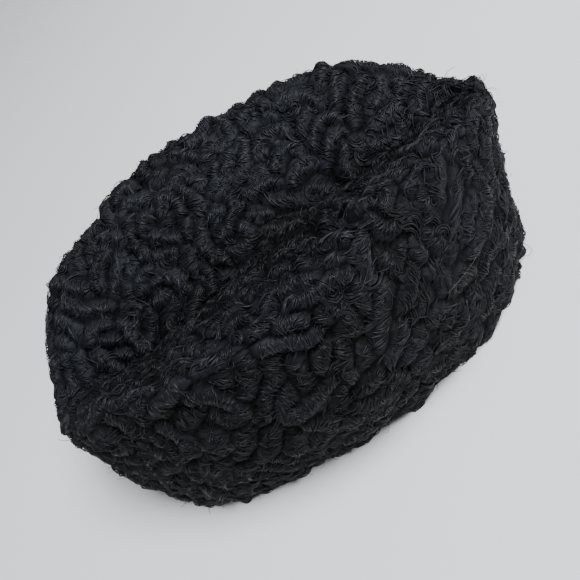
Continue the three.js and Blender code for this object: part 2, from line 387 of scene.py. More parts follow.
# the warm pale grey of a hair that took no dye
undyed_wool = lamb_wool("undyed_lamb_wool", "#55524d", "#938f87", 0.45, 0.4, 1.1, 0.12, 0.0003)


# %% Skin side of the pelt
def pelt_suede(name):
    """Dyed suede: a mottled near-black with a fine nap."""
    material, tree = new_material(name)
    place = add_node(tree, "ShaderNodeTexCoord")
    mottle = add_node(tree, "ShaderNodeTexNoise", Vector=place.outputs["Object"], Scale=60.0, Detail=4.0)
    nap = add_node(tree, "ShaderNodeTexNoise", Vector=place.outputs["Object"], Scale=1400.0, Detail=3.0)
    ramp = add_node(tree, "ShaderNodeValToRGB", Fac=mottle.outputs["Fac"])
    ramp.color_ramp.elements[0].position = 0.3
    ramp.color_ramp.elements[0].color = linear("#08080a")
    ramp.color_ramp.elements[1].position = 0.75
    ramp.color_ramp.elements[1].color = linear("#1a1a1c")
    bump = add_node(tree, "ShaderNodeBump", Height=nap.outputs["Fac"], Strength=0.5, Distance=0.0003)
    shader = add_node(
        tree, "ShaderNodeBsdfPrincipled", Base_Color=ramp.outputs["Color"], Roughness=0.95,
        Normal=bump.outputs["Normal"],
    )
    shader.inputs["Sheen Weight"].default_value = 0.15
    add_node(tree, "ShaderNodeOutputMaterial", Surface=shader.outputs["BSDF"])
    return material


suede = pelt_suede("dyed_suede")

# %% [markdown]
# ## Where the rolls run
# Karakul rolls wander over the skin, curl into commas and rosettes, and lie side by side. A
# smooth random field of directions gives the wandering. From many starting points on the wall a
# path is walked both ways along the field, all paths at once. Then the paths are taken one by
# one, longest first, and each is kept as far as it stays a roll's width away from those before
# it. A grid of small cells that remembers where there is wool makes that test quick. The rolls
# lie 6.6 mm apart, as on a flat-curled pelt.

# %% A wandering field of directions
WAVES = 10
field_axes = unit(rng.normal(size=(WAVES, 3))) * (2 * math.pi / rng.uniform(0.028, 0.075, (WAVES, 1)))
field_turns = rng.uniform(0, 2 * math.pi, WAVES)
field_push = rng.normal(size=(WAVES, 3))


def direction_field(points):
    """Sum of ten waves with random directions, lengths of 28 to 75 mm and pushes."""
    return np.sin(points @ field_axes.T + field_turns) @ field_push


# %% Many candidate paths, walked all at once
WALK_STEP = 1.0 * MM
WALK_STEPS = 24
WALK_LIMIT = 0.995
CURL_SPREAD = 60
STEADINESS = 1.5
CANDIDATES = 9000
END = 0.994
SHARE_END = 0.995


def random_places(count):
    """Places on the wall with even density: a fine grid of cells is picked by area."""
    at = np.linspace(-0.99, 0.99, 240)
    share = np.linspace(0.005, 0.99, 120)
    side, at, share = (g.ravel() for g in np.meshgrid([-1.0, 1.0], at, share, indexing="ij"))
    _, along, up, _ = wall_frame(side, at, share)
    area = np.linalg.norm(np.cross(along, up), axis=-1)
    pick = rng.choice(len(at), count, p=area / area.sum())
    at = at[pick] + rng.uniform(-0.004, 0.004, count)
    share = np.clip(share[pick] + rng.uniform(-0.0045, 0.0045, count), 0.002, SHARE_END)
    return side[pick], np.clip(at, -END, END), share


def to_parameters(move, along, up):
    """The change of at and share that makes a small move in space, solved in the tangent plane."""
    ee, ef, ff = (np.sum(p * q, -1) for p, q in ((along, along), (along, up), (up, up)))
    de, df = np.sum(move * along, -1), np.sum(move * up, -1)
    bottom = np.maximum(ee * ff - ef * ef, 1e-12)
    return np.stack([(de * ff - df * ef) / bottom, (df * ee - de * ef) / bottom], -1)


def walk(side, at, share, curl, sense):
    """Paths of fixed steps along the field, each turned by its own curl, in radians per metre."""
    track, alive = [], []
    going = np.ones(len(at), bool)
    heading = None
    for step in range(WALK_STEPS + 1):
        point, along, up, normal = wall_frame(side, at, share)
        going &= (np.abs(at) < END) & (share < SHARE_END) & (share >= 0)
        track.append(np.stack([at, share], -1))
        alive.append(going.copy())
        flow = direction_field(point)
        flow = unit(flow - normal * np.sum(flow * normal, -1, keepdims=True)) * sense
        turn = (curl * step * WALK_STEP)[:, None]
        flow = flow * np.cos(turn) + np.cross(normal, flow) * np.sin(turn)
        heading = flow if heading is None else unit(flow + STEADINESS * heading)
        change = to_parameters(heading * WALK_STEP, along, up)
        at = np.clip(at + change[:, 0], -WALK_LIMIT, WALK_LIMIT)
        share = np.clip(share + change[:, 1], -0.01, 1)
    return np.stack(track, 1), np.stack(alive, 1)


side, at, share = random_places(CANDIDATES)
curl = rng.normal(0, CURL_SPREAD, CANDIDATES)
ahead, ahead_ok = walk(side, at, share, curl, 1)
behind, behind_ok = walk(side, at, share, -curl, -1)
track = np.concatenate([behind[:, :0:-1], ahead], 1)
track_ok = np.concatenate([behind_ok[:, :0:-1], ahead_ok], 1)
print("candidate paths", track.shape)

# %% Keeping the paths that leave room for each other
ROLL_SPACING = 6.6 * MM
CELL = 1.3 * MM
LENGTHS = (13, 9, 6, 3)
LOW_CORNER = np.array([-0.16, -0.12, -0.03])
CELLS = (250, 190, 130)
taken = np.zeros(CELLS, bool)
reach = int(ROLL_SPACING / CELL) + 1
ball = np.stack(np.meshgrid(*[np.arange(-reach, reach + 1)] * 3, indexing="ij"), -1).reshape(-1, 3)
ball = ball[np.linalg.norm(ball * CELL, axis=1) < ROLL_SPACING]

track_points = wall_point(side[:, None], track[..., 0], track[..., 1])
track_cells = ((track_points - LOW_CORNER) / CELL).astype(int)
rolls = []
for shortest in LENGTHS:
    for i in range(CANDIDATES):
        cells = track_cells[i]
        free = track_ok[i] & ~taken[cells[:, 0], cells[:, 1], cells[:, 2]]
        if not free[WALK_STEPS]:
            continue
        blocked = np.flatnonzero(~free)
        start = blocked[blocked < WALK_STEPS].max(initial=-1) + 1
        stop = blocked[blocked > WALK_STEPS].min(initial=len(free))
        longest = int(rng.integers(shortest, shortest * 2))
        start = max(start, WALK_STEPS - longest // 2)
        stop = min(stop, start + longest)
        if stop - start < shortest:
            continue
        rolls.append((i, start, stop))
        marks = (cells[start:stop, None] + ball).reshape(-1, 3)
        taken[marks[:, 0], marks[:, 1], marks[:, 2]] = True
print("rolls", len(rolls), "total length", round(sum(b - a for _, a, b in rolls) * WALK_STEP, 2), "m")

# %% Every roll as the same number of points
ROLL_POINTS = 13


def resample(values, start, stop, count):
    """Values along a path at evenly spaced places between two of its steps."""
    place = np.linspace(start, stop - 1, count)
    first = np.minimum(place.astype(int), len(values) - 2)
    t = (place - first)[:, None]
    return values[first] * (1 - t) + values[first + 1] * t


roll_side = np.array([side[i] for i, _, _ in rolls])
roll_track = np.stack([resample(track[i], a, b, ROLL_POINTS) for i, a, b in rolls])
roll_length = np.array([(b - a - 1) * WALK_STEP for _, a, b in rolls])
roll_base, roll_du, roll_dv, roll_out = wall_frame(
    np.repeat(roll_side[:, None], ROLL_POINTS, 1), roll_track[..., 0], roll_track[..., 1],
)
roll_way = unit(np.gradient(roll_base, axis=1))
roll_across = unit(np.cross(roll_way, roll_out))
roll_lean = rng.normal(0, 0.45, len(rolls))
roll_height = rng.uniform(0.45, 1.35, len(rolls))
roll_shade = rng.uniform(0.75, 1.15, len(rolls))

# %% [markdown]
# ## The height of the wool
# Each place on the wall belongs to the roll whose path is nearest. Where the next roll is just
# as near there is a crease between the two, and on the path itself is the roll's crest. So the
# height is a dome over (second - first) / (second + first), with both distances measured in
# space. On average the crests reach the face of the solid and the valleys lie some 3 mm below
# it, because the wisps and locks on top add a millimetre or two. Deep in the crease the wool of
# both slopes mats together and fills it a little, and near the end seams it levels out, so that
# the two side panels meet evenly.
# The same search says how far along and across its roll a place lies, which becomes the UV map:
# hairs run across a roll, so U counts millimetres along the roll and V across it.

# %% Height, strand direction and shade on a fine grid
CREST = 3.2 * MM
MEAN_DOME = 0.6
SINK = 1.1 * MM
CREASE_FILL = 2.6 * MM
END_LEVEL = 0.5 * MM
SWELL, SWELL_LENGTH = 0.9 * MM, 35 * MM
RIPPLE, RIPPLE_LENGTH = 0.4 * MM, 8 * MM
DOME_POWER = 2.2
STREAK_SHIFT = 7.3
# how much painted shade darkens the right panel's wool
PAINTED_PANEL_SHADE = 0.18
GRID_AT = 200
GRID_SHARE = 130
grid_at = np.linspace(-END, END, GRID_AT)
grid_share = np.linspace(0, 1, GRID_SHARE)


def nearest_rolls(points):
    """For each point: the nearest roll, its nearest path point, and both smallest distances."""
    cloud = roll_base.reshape(-1, 3).astype(np.float32)
    out = []
    for part in np.array_split(points.astype(np.float32), max(len(points) // 2500, 1)):
        gap = (part**2).sum(1)[:, None] + (cloud**2).sum(1)[None] - 2 * part @ cloud.T
        gap = gap.reshape(len(part), len(rolls), ROLL_POINTS)
        closest = gap.min(2)
        two = np.argpartition(closest, 1, axis=1)[:, :2]
        pair = np.sqrt(np.maximum(np.take_along_axis(closest, two, 1), 0))
        swap = pair[:, 0] > pair[:, 1]
        two[swap], pair[swap] = two[swap][:, ::-1], pair[swap][:, ::-1]
        spot = gap[np.arange(len(part)), two[:, 0]].argmin(1)
        out.append(np.column_stack([two[:, 0], spot, pair]))
    return np.concatenate(out)


def smooth_noise(points, wavelength, seed):
    """Sum of six waves of about one wavelength in random directions, from about -1 to 1."""
    dice = np.random.default_rng(seed)
    axes = unit(dice.normal(size=(6, 3))) * (2 * math.pi / (wavelength * dice.uniform(0.7, 1.4, (6, 1))))
    return np.sin(points @ axes.T + dice.uniform(0, 6.3, 6)).sum(1) / 2.6


def painted_light_and_shade(side_of, at, share):
    """Shade of the wool over the wall, for arrays of side, at and share.

    Painted shade and light, not a colour of the wool. Deep in the crease the wool is darkened as
    painted shade, down to 0.6. On the right side the whole slope from the ridge to the crease is
    darkened as painted shade, and so is the panel's wool except near its front end. On the left
    side the wool about the ridge is lightened a little as painted light.
    """
    right = np.interp(share, [0.66, 0.78, 1.0], [1.0, 0.72, 0.6])
    low_panel = np.interp(share, [0.5, 0.66], [1, 0]) * np.interp(at, [0.15, 0.5], [1, 0])
    right = right * (1 - PAINTED_PANEL_SHADE * low_panel)
    left = np.interp(share, [0.4, 0.6, 0.72, 0.9, 1.0], [1.0, 1.2, 1.35, 1.15, 0.65])
    return np.where(side_of > 0, left, right)


def wool_fields(side_of, at, share):
    """Height, U, V (both in millimetres) and shade for flat arrays of places on the wall."""
    point, _, _, normal = wall_frame(side_of, at, share)
    found = nearest_rolls(point)
    roll, spot = found[:, 0].astype(int), found[:, 1].astype(int)
    first, second = found[:, 2], found[:, 3]
    offset = point - roll_base[roll, spot]
    along = spot / (ROLL_POINTS - 1) * roll_length[roll] + np.sum(offset * roll_way[roll, spot], -1)
    across = np.sum(offset * roll_across[roll, spot], -1)
    ridge = (second - first) / (second + first + 1e-6)
    dome = np.sqrt(np.clip(1 - (1 - ridge) ** DOME_POWER, 0, 1))
    relief = CREST * np.interp(share, [0.0, 0.5, 0.7, 1.0], [0.75, 0.8, 1.1, 1.15])
    height = relief * (dome * roll_height[roll] - MEAN_DOME) - SINK
    height = height + CREASE_FILL * np.interp(share, [0.86, 1], [0, 1]) ** 2
    height = height + SWELL * smooth_noise(point, SWELL_LENGTH, 5)
    height = height + (END_LEVEL - height) * np.interp(np.abs(at), [0.88, 0.985], [0, 1])
    height = height + RIPPLE * smooth_noise(point, RIPPLE_LENGTH, 6)
    u = (along + roll_lean[roll] * across) / MM + roll * STREAK_SHIFT
    # Painted shade: the wool is darkened in the valleys between rolls, down to a quarter at the deepest,
    # and by the painted light and shade over the wall; the factor per roll is its own random tone.
    shade = (0.25 + 0.75 * dome) * roll_shade[roll] * painted_light_and_shade(side_of, at, share)
    return height, u, across / MM, shade


def grid_height(side_value):
    """Height of the wool on one side, as an array of GRID_AT by GRID_SHARE."""
    at, share = (g.ravel() for g in np.meshgrid(grid_at, grid_share, indexing="ij"))
    return wool_fields(np.full(len(at), side_value), at, share)[0].reshape(GRID_AT, GRID_SHARE)


wool_grid = np.stack([grid_height(-1.0), grid_height(1.0)])
print("height of the wool, mm:", [round(float(v) / MM, 2) for v in (wool_grid.min(), wool_grid.max())])


def wool_height(side_of, at, share):
    """Height at any places, between the grid's four nearest points."""
    i = np.clip(np.searchsorted(grid_at, at) - 1, 0, GRID_AT - 2)
    j = np.clip((np.clip(share, 0, 1) * (GRID_SHARE - 1)).astype(int), 0, GRID_SHARE - 2)
    a = np.clip((at - grid_at[i]) / (grid_at[i + 1] - grid_at[i]), 0, 1)
    b = np.clip(share * (GRID_SHARE - 1) - j, 0, 1)
    k = (side_of > 0).astype(int)
    low = wool_grid[k, i, j] * (1 - a) + wool_grid[k, i + 1, j] * a
    high = wool_grid[k, i, j + 1] * (1 - a) + wool_grid[k, i + 1, j + 1] * a
    return low * (1 - b) + high * b


# %% [markdown]
# ## The three panels
# A panel is a closed shell: the outer face carries the wool's height, the inner one is the skin
# side of the pelt. Both are rows of points joined into a ring that runs up the outer face and
# down the inner one, and a fan of triangles closes each open end. Towards the end seams the pelt
# bends so sharply that the inner face is lowered there, to stay inside the outer one, and the
# crown narrows to a tip that stops just short of the seams, between the two side panels.

# %% Panel shells
PANEL_COLUMNS = 240
SIDE_ROWS = 95
CROWN_ROWS = 60
INNER_ROWS = 8
INNER_END_DROP = 10 * MM
CROWN_REACH = 0.957


def ring_faces(outer_rows, inner_rows, columns):
    """Quads of a grid whose rows run round in a ring, and a fan of triangles over each open end."""
    rows = outer_rows + inner_rows
    r, c = np.meshgrid(np.arange(rows), np.arange(columns - 1), indexing="ij")
    r_next = (r + 1) % rows
    here, above = r * columns + c, r_next * columns + c
    quads = np.stack([here, here + 1, above + 1, above], -1).reshape(-1, 4)
    sides = np.concatenate([quads[:, [0, 1, 2]], quads[:, [0, 2, 3]]])
    k = np.arange(outer_rows - 1)
    inner = rows - 1 - np.rint(k / (outer_rows - 1) * (inner_rows - 1)).astype(int)
    inner_next = rows - 1 - np.rint((k + 1) / (outer_rows - 1) * (inner_rows - 1)).astype(int)
    first = np.concatenate([
        np.stack([k, k + 1, inner], -1),
        np.stack([k + 1, inner_next, inner], -1)[inner != inner_next],
    ]) * columns
    return np.concatenate([sides, first, first[:, ::-1] + columns - 1])


def outward_faces(points, faces):
    """Triangles of a closed mesh turned so that the enclosed volume is positive."""
    a, b, c = (points[faces[:, i]] for i in range(3))
    return faces if np.einsum("ij,ij->i", a, np.cross(b, c)).sum() > 0 else faces[:, ::-1]


def panel_piece(name, side_of, at, outer_share, inner_share):
    """One panel from its stations and the shares of its outer and inner rows."""
    outer_side, outer_at, outer_share = np.broadcast_arrays(side_of(outer_share), at, outer_share)
    inner_side, inner_at, inner_share = np.broadcast_arrays(side_of(inner_share), at, inner_share)
    outer_share, inner_share = np.abs(outer_share), np.abs(inner_share)
    flat = [g.ravel() for g in (outer_side, outer_at, outer_share)]
    height, u, v, shade = wool_fields(*flat)
    normal = wall_frame(*flat)[3]
    outer = wall_point(*flat) + normal * height[:, None]
    inner = wall_point(inner_side.ravel(), inner_at.ravel(), inner_share.ravel(), FUR_WALL)
    near_end = np.interp(np.abs(station_of(inner_at.ravel())), [0.8, 0.95], [0, 1])
    inner[:, 2] -= INNER_END_DROP * near_end * inner_share.ravel()
    points = np.concatenate([outer, inner])
    points[:, 2] = np.maximum(points[:, 2], 0)
    rest = len(inner)
    uv = np.stack([np.concatenate([u, np.zeros(rest)]), np.concatenate([v, np.zeros(rest)])], -1)
    tint = np.concatenate([shade, np.full(rest, 0.3)])
    faces = outward_faces(points, ring_faces(outer_at.shape[0], inner_at.shape[0], outer_at.shape[1]))
    piece = mesh_piece(name, points, faces, underwool, uv, tint)
    is_inner = (faces >= len(outer)).all(1)
    piece.data.materials.append(suede)
    piece.data.polygons.foreach_set("material_index", is_inner.astype(np.int32))
    print(name, len(faces), "triangles")
    return piece


pieces = {"left_side_panel": [], "right_side_panel": [], "crown_panel": []}
stations = np.linspace(-1, 1, PANEL_COLUMNS)[None, :]
rise = np.linspace(0, 1, SIDE_ROWS)[:, None]
rise_inner = np.linspace(1, 0, INNER_ROWS)[:, None]
for value, node in ((1.0, "left_side_panel"), (-1.0, "right_side_panel")):
    pieces[node].append(panel_piece(
        node + "_wool", lambda share, value=value: value + 0 * share, stations,
        rise * seam_share(stations), rise_inner * seam_share(stations),
    ))
stations = place_of(np.linspace(-CROWN_REACH, CROWN_REACH, PANEL_COLUMNS))[None, :]
crossing = np.linspace(-1, 1, CROWN_ROWS * 2 - 1)[:, None]
crossing_inner = np.linspace(1, -1, INNER_ROWS * 2 - 1)[:, None]


def crown_share(place):
    """Share with the sign of its side, for places from -1, the right seam, to 1, the left one."""
    sign = np.where(place < 0, -1.0, 1.0)
    return sign * (1 - np.abs(place) * (1 - seam_share(stations)))


pieces["crown_panel"].append(panel_piece(
    "crown_panel_wool", np.sign, stations, crown_share(crossing), crown_share(crossing_inner),
))

# %% [markdown]
# ## Wisps of hair over the rolls
# Over the streaked surface lie real strands: wisps 0.3 to 1 mm wide. Each starts low on one side
# of its roll, passes over the crest and tucks in on the other side, slanting along the roll as
# it goes. Neighbouring wisps share their lean, their reach and their height, so they clump. A
# wisp is a thin closed strand of three sides and 26 triangles, laid on the height of the wool.

# %% Strand meshes
WISP_POINTS = 5
WISP_HALF_WIDTH = 0.24 * MM
FLATNESS = 0.6
U_STEP = 0.7
FLOOR_GAP = 0.1 * MM


def tube_faces(count, points, around):
    """Triangles of many equal closed tubes: the sides, and a fan over each end."""
    k, i, j = np.meshgrid(np.arange(count), np.arange(points - 1), np.arange(around), indexing="ij")
    base = k * points * around + i * around
    j_next = (j + 1) % around
    above = base + around
    quads = np.stack([base + j, base + j_next, above + j_next, above + j], -1).reshape(-1, 4)
    k, j = np.meshgrid(np.arange(count), np.arange(1, around - 1), indexing="ij")
    base = k * points * around
    last_ring = base + (points - 1) * around
    first = np.stack([base, base + j + 1, base + j], -1).reshape(-1, 3)
    last = np.stack([last_ring, last_ring + j, last_ring + j + 1], -1).reshape(-1, 3)
    return np.concatenate([quads[:, [0, 1, 2]], quads[:, [0, 2, 3]], first, last])


def strands(name, path, up, width, tint, material=wool):
    """Many thin closed strands: three-sided tubes, flat to the wool, along paths of equal length.

    path and up have the shape (strands, points, 3), width and tint (strands, points). A width is
    measured from the middle of the strand to its edge.
    """
    count, points = path.shape[:2]
    way = unit(np.gradient(path, axis=1))
    flank = unit(np.cross(way, up))
    crest = np.cross(flank, way)
    angle = np.arange(3) / 3 * 2 * math.pi + math.pi / 2
    ring = path[:, :, None] + flank[:, :, None] * (np.cos(angle)[:, None] * width[..., None, None])
    ring = ring + crest[:, :, None] * (np.sin(angle)[:, None] * width[..., None, None] * FLATNESS)
    ring = ring.reshape(-1, 3)
    ring[:, 2] = np.maximum(ring[:, 2], FLOOR_GAP)
    steps = np.linalg.norm(np.diff(path, axis=1), axis=-1)
    reach = np.concatenate([np.zeros((count, 1)), np.cumsum(steps, 1)], 1)
    u = np.broadcast_to(np.arange(3) * U_STEP, (count, points, 3)) + rng.uniform(0, 300, (count, 1, 1))
    v = np.broadcast_to((reach / MM)[..., None], (count, points, 3))
    uv = np.stack([u, v], -1).reshape(-1, 2)
    faces = tube_faces(count, points, 3)
    print(name, len(faces), "triangles")
    return mesh_piece(name, ring, outward_faces(ring, faces), material, uv, np.repeat(tint.reshape(-1), 3))


# %% Wisp paths, all at once
WISP_SPACING = 0.56 * MM
OVERSHOOT = 2 * MM
CLUMP = 2.4 * MM
TUCK = 0.35 * MM
t = np.linspace(0, 1, WISP_POINTS)


def at_place(values, roll, place):
    """Values of the given rolls at a place from 0 to 1 along them, between their points."""
    f = np.clip(place, 0, 1) * (ROLL_POINTS - 1)
    first = np.minimum(f.astype(int), ROLL_POINTS - 2)
    w = (f - first)[..., None]
    return values[roll, first] * (1 - w) + values[roll, first + 1] * w


counts = np.maximum((roll_length / WISP_SPACING).astype(int) + 3, 6)
wisp_roll = np.repeat(np.arange(len(rolls)), counts)
order = np.arange(counts.sum()) - np.repeat(np.cumsum(counts) - counts, counts)
length = roll_length[wisp_roll]
spread = (order + rng.uniform(0, 1, len(order))) / counts[wisp_roll]
wisp_place = (spread * (length + 2 * OVERSHOOT) - OVERSHOOT) / length
wisp_count = len(wisp_roll)
clump = np.floor(wisp_place * length / CLUMP).astype(int) + 5 + wisp_roll * 100
clump_ids, clump_index = np.unique(clump, return_inverse=True)


def per_clump(low, high):
    """One random number for each clump, given to all its wisps."""
    return rng.uniform(low, high, len(clump_ids))[clump_index]


hand = rng.choice([-1.0, 1.0], len(rolls))[wisp_roll]
lean = roll_lean[wisp_roll] + per_clump(-0.8, 0.8) + rng.normal(0, 0.22, wisp_count)
reach_from = -ROLL_SPACING * rng.uniform(0.35, 0.7, wisp_count)
reach_to = ROLL_SPACING * (per_clump(0.3, 0.8) + rng.normal(0, 0.08, wisp_count))
lift_top = (per_clump(0.3, 1.1) + np.abs(rng.normal(0, 0.15, wisp_count))) * MM

across_by = hand[:, None] * (reach_from[:, None] + (reach_to - reach_from)[:, None] * t)
along_by = lean[:, None] * across_by
place = wisp_place[:, None] + along_by / length[:, None]
roll_index = np.broadcast_to(wisp_roll[:, None], place.shape)
beyond = (place - np.clip(place, 0, 1)) * length[:, None]
way = at_place(roll_way, roll_index, place)
move = at_place(roll_across, roll_index, place) * across_by[..., None] + way * beyond[..., None]
change = to_parameters(move, at_place(roll_du, roll_index, place), at_place(roll_dv, roll_index, place))
spot = at_place(roll_track, roll_index, place) + change
wisp_side = np.broadcast_to(roll_side[wisp_roll][:, None], place.shape)


def lay_on_wool(side_of, spots, lift):
    """Points in space and outward normals of places on the wall, lifted off the wool's height.

    A place past an end seam goes on down the other side, so that the wool closes over the seam.
    A place past the crease is held just inside it.
    """
    past = np.abs(spots[..., 0]) > 1
    side_of = np.where(past, -side_of, side_of)
    at = np.where(past, 2 * np.sign(spots[..., 0]) - spots[..., 0], spots[..., 0])
    at = np.clip(at, -END, END)
    share = np.clip(spots[..., 1], 0, SHARE_END)
    point, _, _, normal = wall_frame(side_of, at, share)
    height = wool_height(side_of.ravel(), at.ravel(), share.ravel()).reshape(at.shape)
    return point + normal * (height + lift)[..., None], normal


def panel_of(side_of, at, share):
    """Number of the panel that a place belongs to: 0 left, 1 right, 2 crown."""
    return np.where(share > seam_share(at), 2, np.where(side_of > 0, 0, 1))


arch = np.sin(math.pi * np.clip(t * 0.9 + 0.05, 0, 1))
lift = lift_top[:, None] * arch - TUCK * (1 - arch)
wisp_path, wisp_up = lay_on_wool(wisp_side, spot, lift)
wisp_width = (WISP_HALF_WIDTH * rng.uniform(0.6, 2.0, wisp_count))[:, None] * (0.3 + 0.7 * arch**0.6)
wisp_tint = roll_shade[wisp_roll] * rng.uniform(0.75, 1.1, wisp_count)
# Painted shade: each wisp is darkened towards its ends, where it tucks into the wool, and then by the
# painted light and shade over the wall.
wisp_tint = wisp_tint[:, None] * (0.5 + 0.5 * arch)
wisp_tint = wisp_tint * painted_light_and_shade(wisp_side, spot[..., 0], spot[..., 1])
middle = spot[:, WISP_POINTS // 2]
wisp_node = panel_of(roll_side[wisp_roll], middle[:, 0], middle[:, 1])
print("wisps", wisp_count)

# %% [markdown]
# ## Comma locks on top
# Over the rolls lie locks that curl flat on the surface like commas, some closed to a rosette
# with an eye. Each is nine wisps side by side on a spiral in the plane of the wall. The middle
# wisp lies highest, so that the lock is domed, and the tips sink in. The first locks are put
# beside the end seams, where they close the wool over the seam.

# %% Strands laid flat on the wool
def lay_flat(side_of, at, share, forward, aside, lift):
    """Strands drawn in the plane of the wall round one place each, and laid on the wool.

    forward and aside, in metres, have the shape (places, strands, points).
    """
    _, along, up, normal = (a[:, None, None] for a in wall_frame(side_of, at, share))
    first = unit(along)
    move = first * forward[..., None] + np.cross(normal, first) * aside[..., None]
    spots = np.stack([at, share], -1)[:, None, None] + to_parameters(move, along, up)
    path, upward = lay_on_wool(np.broadcast_to(side_of[:, None, None], forward.shape), spots, lift)
    return path.reshape(-1, forward.shape[2], 3), upward.reshape(-1, forward.shape[2], 3)


# %% Lock paths
LOCKS = 1060
END_LOCKS = 160
WISPS_PER_LOCK = 9
LOCK_POINTS = 7
LOCK_WIDTH = 4.2 * MM
LOCK_LIFT = 1.1 * MM
LOCK_DOME = 0.6 * MM

t = np.linspace(0, 1, LOCK_POINTS)
lock_side, lock_at, lock_share = random_places(LOCKS)
lock_at[:END_LOCKS] = rng.choice([-1.0, 1.0], END_LOCKS) * rng.uniform(0.93, 0.992, END_LOCKS)
lock_share[:END_LOCKS] = rng.uniform(0.03, 0.98, END_LOCKS)
size = (LOCKS, WISPS_PER_LOCK, 1)
lane = np.linspace(-1, 1, WISPS_PER_LOCK)[None, :, None] + rng.normal(0, 0.12, size)
wind = rng.choice([-1.0, 1.0], (LOCKS, 1, 1)) * rng.uniform(1.2, 4.0, (LOCKS, 1, 1))
facing = rng.uniform(0, 2 * math.pi, (LOCKS, 1, 1)) + rng.normal(0, 0.1, size)
bend_radius = rng.uniform(2.4, 6.0, (LOCKS, 1, 1)) * MM
spiral = bend_radius * (1 - 0.45 * t) + lane * LOCK_WIDTH / 2 * (1 - 0.5 * t)
spiral = spiral + rng.normal(0, 0.25, size) * MM
sweep = facing + wind * (t + rng.normal(0, 0.04, size))
bow = np.sin(math.pi * (0.1 + 0.8 * t)) ** 0.7
lift = LOCK_LIFT * rng.uniform(0.4, 1.3, (LOCKS, 1, 1)) * bow
lift = lift - LOCK_DOME * lane**2 + rng.normal(0, 0.2, size) * MM
lock_path, lock_up = lay_flat(
    lock_side, lock_at, lock_share, np.cos(sweep) * spiral, np.sin(sweep) * spiral, lift,
)
lock_count = len(lock_path)
lock_width = (WISP_HALF_WIDTH * rng.uniform(0.5, 1.5, lock_count))[:, None] * (0.3 + 0.7 * bow)
# Painted shade: each wisp of a lock is darkened towards its tips, where they sink into the wool, and then
# by the painted light and shade over the wall.
lock_tint = rng.uniform(0.75, 1.1, lock_count)[:, None] * (0.5 + 0.5 * bow)
lock_shade = painted_light_and_shade(lock_side, lock_at, lock_share)
lock_tint = lock_tint * np.repeat(lock_shade, WISPS_PER_LOCK)[:, None]
lock_node = np.repeat(panel_of(lock_side, lock_at, lock_share), WISPS_PER_LOCK)
print("wisps in comma locks", lock_count)

# %% [markdown]
# ## Loose wisps
# Single wisps 3.5 to 8 mm long lie any way over the rest and break up its order. Each is nearly
# straight, with a slow bend, and stands up to 1.5 mm off the wool in its middle.

# %% Loose wisp paths
LOOSE = 3200
t = np.linspace(0, 1, WISP_POINTS)
loose_side, loose_at, loose_share = random_places(LOOSE)
facing = rng.uniform(0, 2 * math.pi, (LOOSE, 1, 1)) + rng.normal(0, 0.9, (LOOSE, 1, 1)) * t
travel = rng.uniform(3.5, 8.0, (LOOSE, 1, 1)) * MM * (t - 0.5)
bow = np.sin(math.pi * (0.1 + 0.8 * t))
lift = rng.uniform(0.2, 1.5, (LOOSE, 1, 1)) * MM * bow
loose_path, loose_up = lay_flat(
    loose_side, loose_at, loose_share, np.cos(facing) * travel, np.sin(facing) * travel, lift,
)
loose_width = (WISP_HALF_WIDTH * rng.uniform(0.5, 1.5, LOOSE))[:, None] * (0.3 + 0.7 * bow)
# Painted shade: each loose wisp is darkened by the painted light and shade over the wall, and towards its
# ends, where it lies down on the wool.
loose_tint = rng.uniform(0.7, 1.1, LOOSE) * painted_light_and_shade(loose_side, loose_at, loose_share)
loose_tint = loose_tint[:, None] * (0.5 + 0.5 * bow)
loose_node = panel_of(loose_side, loose_at, loose_share)

# %% [markdown]
# ## Stray hairs and ring curls
# All over the cap, and seen best along its outline, single hairs and tiny ring curls of 2 to
# 4 mm stand off the wool. A stray hair leaves the surface and bends over; a ring curl turns
# nearly once round in a plane that stands on the wall. Both are thinner than a wisp, though
# still drawn coarser than a real hair.

# %% Stray hairs and ring curls
STRAYS = 900
STRAY_POINTS = 7
ROOT_DEPTH = 0.4 * MM
stray_side, stray_at, stray_share = random_places(STRAYS)
stray_root, stray_normal = lay_on_wool(
    stray_side, np.stack([stray_at, stray_share], -1), np.full(STRAYS, -ROOT_DEPTH),
)
swirl = rng.normal(size=(STRAYS, 3))
stray_flat = unit(swirl - stray_normal * np.sum(swirl * stray_normal, -1, keepdims=True))
r = np.linspace(0, 1, STRAY_POINTS)[None, :]
is_ring = rng.uniform(size=(STRAYS, 1)) < 0.45
ring_radius = rng.uniform(1.1, 2.2, (STRAYS, 1)) * MM
bow_radius = rng.uniform(2.5, 6.0, (STRAYS, 1)) * MM
radius = np.where(is_ring, ring_radius * (1 - 0.2 * r), bow_radius)
turning = np.where(is_ring, rng.uniform(4.2, 6.0, (STRAYS, 1)), rng.uniform(0.8, 1.7, (STRAYS, 1))) * r
onward = radius * (1 - np.cos(turning))
outward = radius * np.sin(turning) + np.where(is_ring, 0.5 * MM * r, 0)
sway = np.cross(stray_normal, stray_flat)
aside = rng.normal(0, 0.8, (STRAYS, 1)) * MM * r**2
stray_path = stray_root[:, None] + stray_flat[:, None] * onward[..., None]
stray_path = stray_path + stray_normal[:, None] * outward[..., None]
stray_path = stray_path + sway[:, None] * aside[..., None]
stray_up = np.broadcast_to(sway[:, None], stray_path.shape)
stray_width = (rng.uniform(0.1, 0.22, (STRAYS, 1)) * MM) * (1 - 0.6 * r)
stray_node = panel_of(stray_side, stray_at, stray_share)

# %% [markdown]
# ## One pale hair
# A single hair that took no dye lies over the right side panel, towards its front end. It is a
# shallow bow between two places on the wall, held a few millimetres clear of the wool's base.

